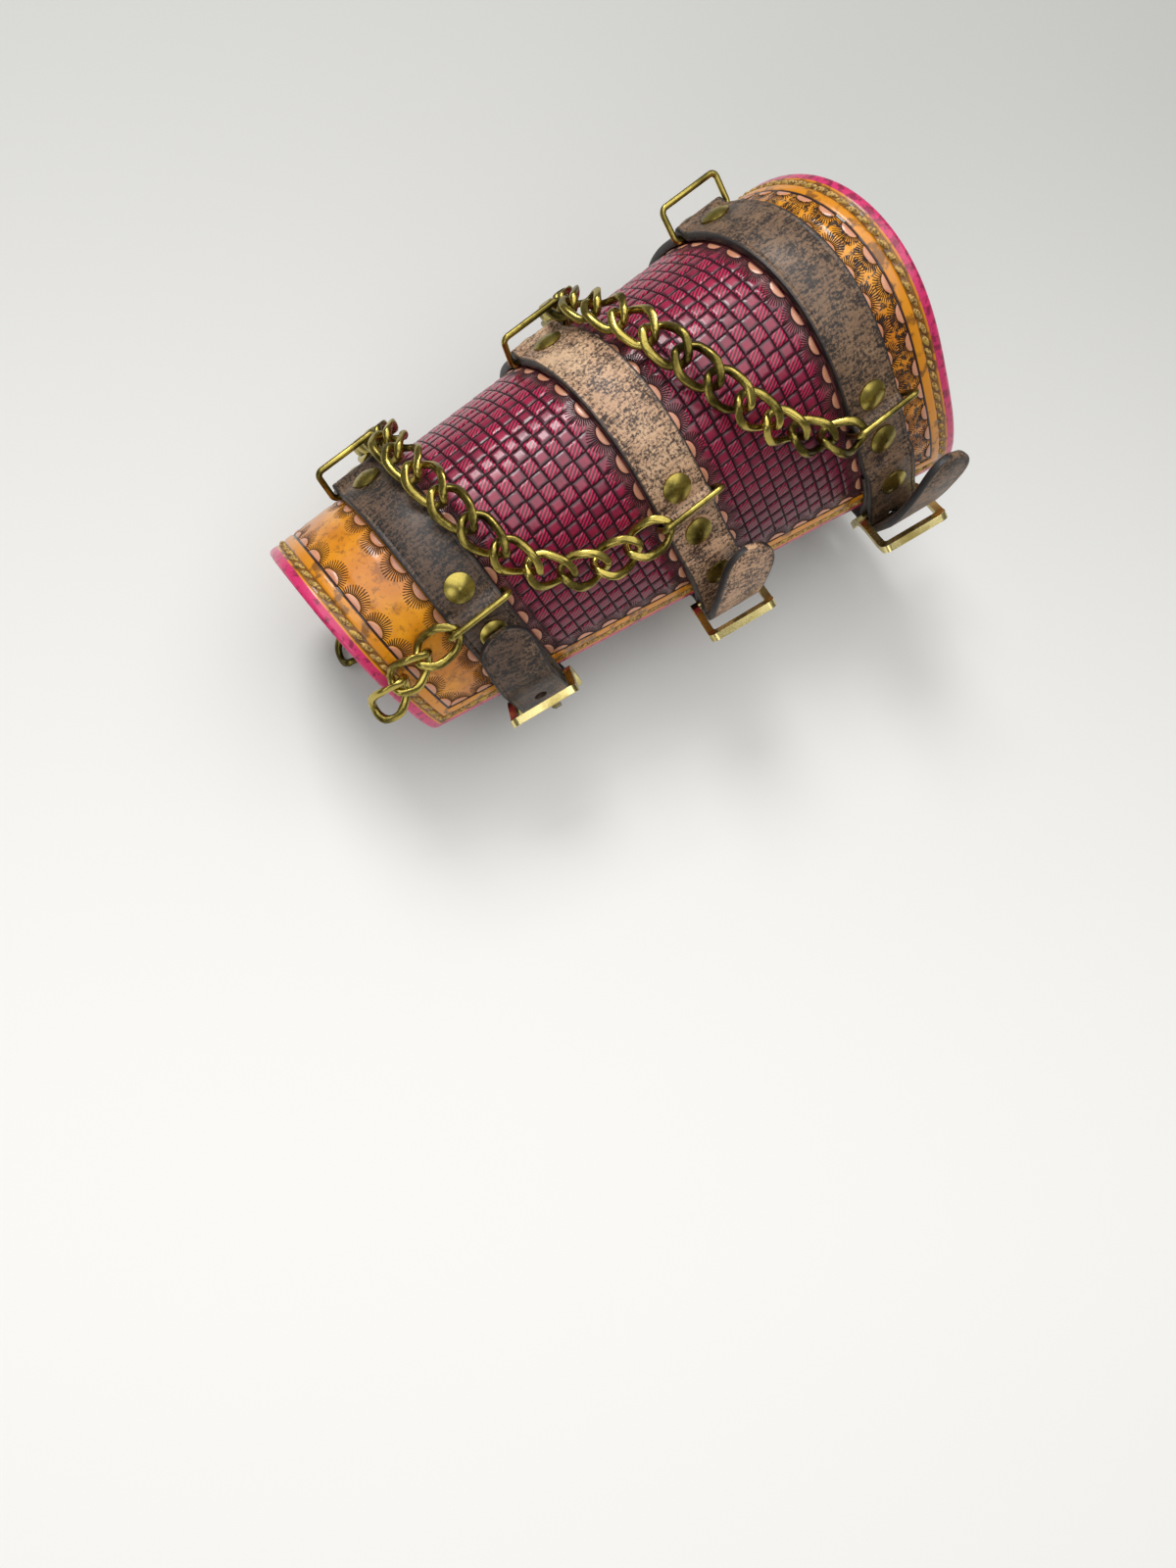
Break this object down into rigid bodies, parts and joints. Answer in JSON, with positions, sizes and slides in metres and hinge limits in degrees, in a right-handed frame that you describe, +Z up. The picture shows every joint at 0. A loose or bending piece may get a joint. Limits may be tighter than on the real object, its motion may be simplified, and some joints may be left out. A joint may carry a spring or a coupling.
{
  "type": "leather bracer",
  "caption": "Tooled leather bracer curled to its buckled shape, with brass strap buckles, wire rings and curb chains swagged between the straps",
  "frame": {"origin": "centre of the bounding box in X and Y, lowest point in Z", "axes": "+X towards the elbow end along the sleeve, buckles towards -Y, +Z up; the sleeve lies on its flat side, the seam about 30 degrees below -Y"},
  "size_m": [0.2334, 0.1424, 0.1194],
  "materials": {
    "magenta_leather": "glossy dyed and antiqued tooled leather",
    "black_leather": "smooth matt lining leather",
    "dark_strap": "near-black oiled leather, waxed",
    "tan_strap": "distressed light tan leather",
    "brown_strap": "mid-brown waxed leather",
    "antique_brass": "antiqued brass plate, dark in the hollows",
    "prong_brass": "dark antiqued brass",
    "rivet_backs": "plain pressed brass"
  },
  "bodies": {
    "sleeve": {"outer_leather": "magenta_leather", "lining": "black_leather", "strap_wrist": "dark_strap", "strap_middle": "tan_strap", "strap_elbow": "brown_strap", "rivet_caps_wrist": "antique_brass", "rivet_caps_middle": "antique_brass", "rivet_caps_elbow": "antique_brass", "rivet_backs_wrist": "rivet_backs", "rivet_backs_middle": "rivet_backs", "rivet_backs_elbow": "rivet_backs"},
    "frame_wrist": {"buckle_frame_wrist": "antique_brass"},
    "prong_wrist": {"buckle_prong_wrist": "prong_brass"},
    "frame_middle": {"buckle_frame_middle": "antique_brass"},
    "prong_middle": {"buckle_prong_middle": "prong_brass"},
    "frame_elbow": {"buckle_frame_elbow": "antique_brass"},
    "prong_elbow": {"buckle_prong_elbow": "prong_brass"},
    "ring_wrist_front": {"ring_wrist_front": "antique_brass"},
    "ring_wrist_centre": {"ring_wrist_centre": "antique_brass"},
    "ring_wrist_back": {"ring_wrist_back": "antique_brass"},
    "ring_middle_front": {"ring_middle_front": "antique_brass"},
    "ring_middle_centre": {"ring_middle_centre": "antique_brass"},
    "ring_middle_back": {"ring_middle_back": "antique_brass"},
    "ring_elbow_front": {"ring_elbow_front": "antique_brass"},
    "ring_elbow_centre": {"ring_elbow_centre": "antique_brass"},
    "ring_elbow_back": {"ring_elbow_back": "antique_brass"},
    "swag_upper_front": {"swag_upper_front": "antique_brass"},
    "swag_upper_back": {"swag_upper_back": "antique_brass"},
    "swag_lower_front": {"swag_lower_front": "antique_brass"},
    "swag_lower_back": {"swag_lower_back": "antique_brass"},
    "mid_link_upper": {"mid_link_upper": "antique_brass"},
    "mid_link_lower": {"mid_link_lower": "antique_brass"},
    "tail_front_1": {"tail_link_front_1": "antique_brass"},
    "tail_front_2": {"tail_link_front_2": "antique_brass"},
    "tail_front_3": {"tail_link_front_3": "antique_brass"},
    "tail_back_1": {"tail_link_back_1": "antique_brass"},
    "tail_back_2": {"tail_link_back_2": "antique_brass"},
    "tail_back_3": {"tail_link_back_3": "antique_brass"}
  },
  "joints": [
    {"name": "buckle_wrist", "type": "hinge", "parent": "sleeve", "child": "frame_wrist", "pos_m": [-0.06166, -0.03944, 0.03931], "axis": [0.9418, -0.0853, 0.3251], "range_deg": [-3, 3]},
    {"name": "prong_wrist", "type": "hinge", "parent": "frame_wrist", "child": "prong_wrist", "pos_m": [-0.06166, -0.03944, 0.03931], "axis": [-0.9418, 0.0853, -0.3251], "range_deg": [0, 4]},
    {"name": "buckle_middle", "type": "hinge", "parent": "sleeve", "child": "frame_middle", "pos_m": [0.01275, -0.0465, 0.04402], "axis": [0.9418, -0.0853, 0.3251], "range_deg": [-3, 3]},
    {"name": "prong_middle", "type": "hinge", "parent": "frame_middle", "child": "prong_middle", "pos_m": [0.01275, -0.0465, 0.04402], "axis": [-0.9418, 0.0853, -0.3251], "range_deg": [0, 4]},
    {"name": "buckle_elbow", "type": "hinge", "parent": "sleeve", "child": "frame_elbow", "pos_m": [0.08409, -0.05328, 0.04853], "axis": [0.9418, -0.0853, 0.3251], "range_deg": [-3, 3]},
    {"name": "prong_elbow", "type": "hinge", "parent": "frame_elbow", "child": "prong_elbow", "pos_m": [0.08409, -0.05328, 0.04853], "axis": [-0.9418, 0.0853, -0.3251], "range_deg": [0, 4]},
    {"name": "ring_wrist_front_swing", "type": "hinge", "parent": "sleeve", "child": "ring_wrist_front", "pos_m": [-0.07341, -0.01501, 0.07872], "axis": [0.9683, 0.045, 0.2459], "range_deg": [-3, 5]},
    {"name": "ring_wrist_centre_swing", "type": "hinge", "parent": "sleeve", "child": "ring_wrist_centre", "pos_m": [-0.07778, 0.04303, 0.07033], "axis": [0.9896, 0.0783, 0.121], "range_deg": [-3, 5]},
    {"name": "ring_wrist_back_swing", "type": "hinge", "parent": "sleeve", "child": "ring_wrist_back", "pos_m": [-0.06776, 0.02514, 0.00941], "axis": [0.9854, 0.1665, 0.036], "range_deg": [-5, 5]},
    {"name": "ring_middle_front_swing", "type": "hinge", "parent": "sleeve", "child": "ring_middle_front", "pos_m": [0.00065, -0.02368, 0.08396], "axis": [0.9645, 0.0416, 0.2609], "range_deg": [-5, 5]},
    {"name": "ring_middle_centre_swing", "type": "hinge", "parent": "sleeve", "child": "ring_middle_centre", "pos_m": [-0.00608, 0.04854, 0.07933], "axis": [0.9895, 0.0778, 0.1214], "range_deg": [-3, 5]},
    {"name": "ring_middle_back_swing", "type": "hinge", "parent": "sleeve", "child": "ring_middle_back", "pos_m": [0.00682, 0.02011, 0.00836], "axis": [0.9837, 0.1781, 0.0253], "range_deg": [-5, 5]},
    {"name": "ring_elbow_front_swing", "type": "hinge", "parent": "sleeve", "child": "ring_elbow_front", "pos_m": [0.07172, -0.03154, 0.08897], "axis": [0.9617, 0.0422, 0.2708], "range_deg": [-5, 3]},
    {"name": "ring_elbow_centre_swing", "type": "hinge", "parent": "sleeve", "child": "ring_elbow_centre", "pos_m": [0.06266, 0.05382, 0.08797], "axis": [0.9895, 0.0775, 0.1218], "range_deg": [-60, 60]},
    {"name": "ring_elbow_back_swing", "type": "hinge", "parent": "sleeve", "child": "ring_elbow_back", "pos_m": [0.07835, 0.01551, 0.00776], "axis": [0.9821, 0.1871, 0.0207], "range_deg": [-3, 5]},
    {"name": "swag_upper_front_swing", "type": "hinge", "parent": "sleeve", "child": "swag_upper_front", "pos_m": [0.05512, -0.03458, 0.09057], "axis": [-0.5013, 0.8652, -0.0147], "range_deg": [0, 6]},
    {"name": "swag_upper_back_swing", "type": "hinge", "parent": "sleeve", "child": "swag_upper_back", "pos_m": [0.06189, 0.01881, 0.00411], "axis": [0.5297, -0.3099, -0.7895], "range_deg": [0, 4]},
    {"name": "swag_lower_front_swing", "type": "hinge", "parent": "sleeve", "child": "swag_lower_front", "pos_m": [-0.01596, -0.02655, 0.08572], "axis": [-0.5626, 0.8238, -0.0693], "range_deg": [0, 6]},
    {"name": "swag_lower_back_swing", "type": "hinge", "parent": "sleeve", "child": "swag_lower_back", "pos_m": [-0.00962, 0.0237, 0.00489], "axis": [0.5896, -0.2501, -0.768], "range_deg": [0, 6]},
    {"name": "mid_link_upper_roll", "type": "hinge", "parent": "sleeve", "child": "mid_link_upper", "pos_m": [0.00486, 0.05217, 0.0891], "axis": [-0.0603, -0.5415, 0.8385], "range_deg": [-2, 4]},
    {"name": "mid_link_lower_roll", "type": "hinge", "parent": "sleeve", "child": "mid_link_lower", "pos_m": [-0.06687, 0.04798, 0.07945], "axis": [-0.0586, -0.5487, 0.834], "range_deg": [-2, 4]},
    {"name": "tail_front_1_swing", "type": "hinge", "parent": "sleeve", "child": "tail_front_1", "pos_m": [-0.08562, -0.01847, 0.08141], "axis": [-0.209, 0.6855, 0.6974], "range_deg": [0, 12]},
    {"name": "tail_front_2_swing", "type": "hinge", "parent": "tail_front_1", "child": "tail_front_2", "pos_m": [-0.09509, -0.01918, 0.07789], "axis": [-0.2198, 0.6485, 0.7288], "range_deg": [0, 8]},
    {"name": "tail_front_3_swing", "type": "hinge", "parent": "tail_front_2", "child": "tail_front_3", "pos_m": [-0.10493, -0.02086, 0.07212], "axis": [-0.2378, 0.6031, 0.7614], "range_deg": [0, 8]},
    {"name": "tail_back_1_swing", "type": "hinge", "parent": "sleeve", "child": "tail_back_1", "pos_m": [-0.07987, 0.03006, 0.00666], "axis": [0.1673, -0.9407, -0.295], "range_deg": [0, 12]},
    {"name": "tail_back_2_swing", "type": "hinge", "parent": "tail_back_1", "child": "tail_back_2", "pos_m": [-0.08962, 0.02729, 0.00666], "axis": [0.1699, -0.9574, -0.2336], "range_deg": [0, 8]},
    {"name": "tail_back_3_swing", "type": "hinge", "parent": "tail_back_2", "child": "tail_back_3", "pos_m": [-0.09996, 0.02206, 0.00671], "axis": [0.1783, -0.9724, -0.1504], "range_deg": [0, 8]}
  ]
}
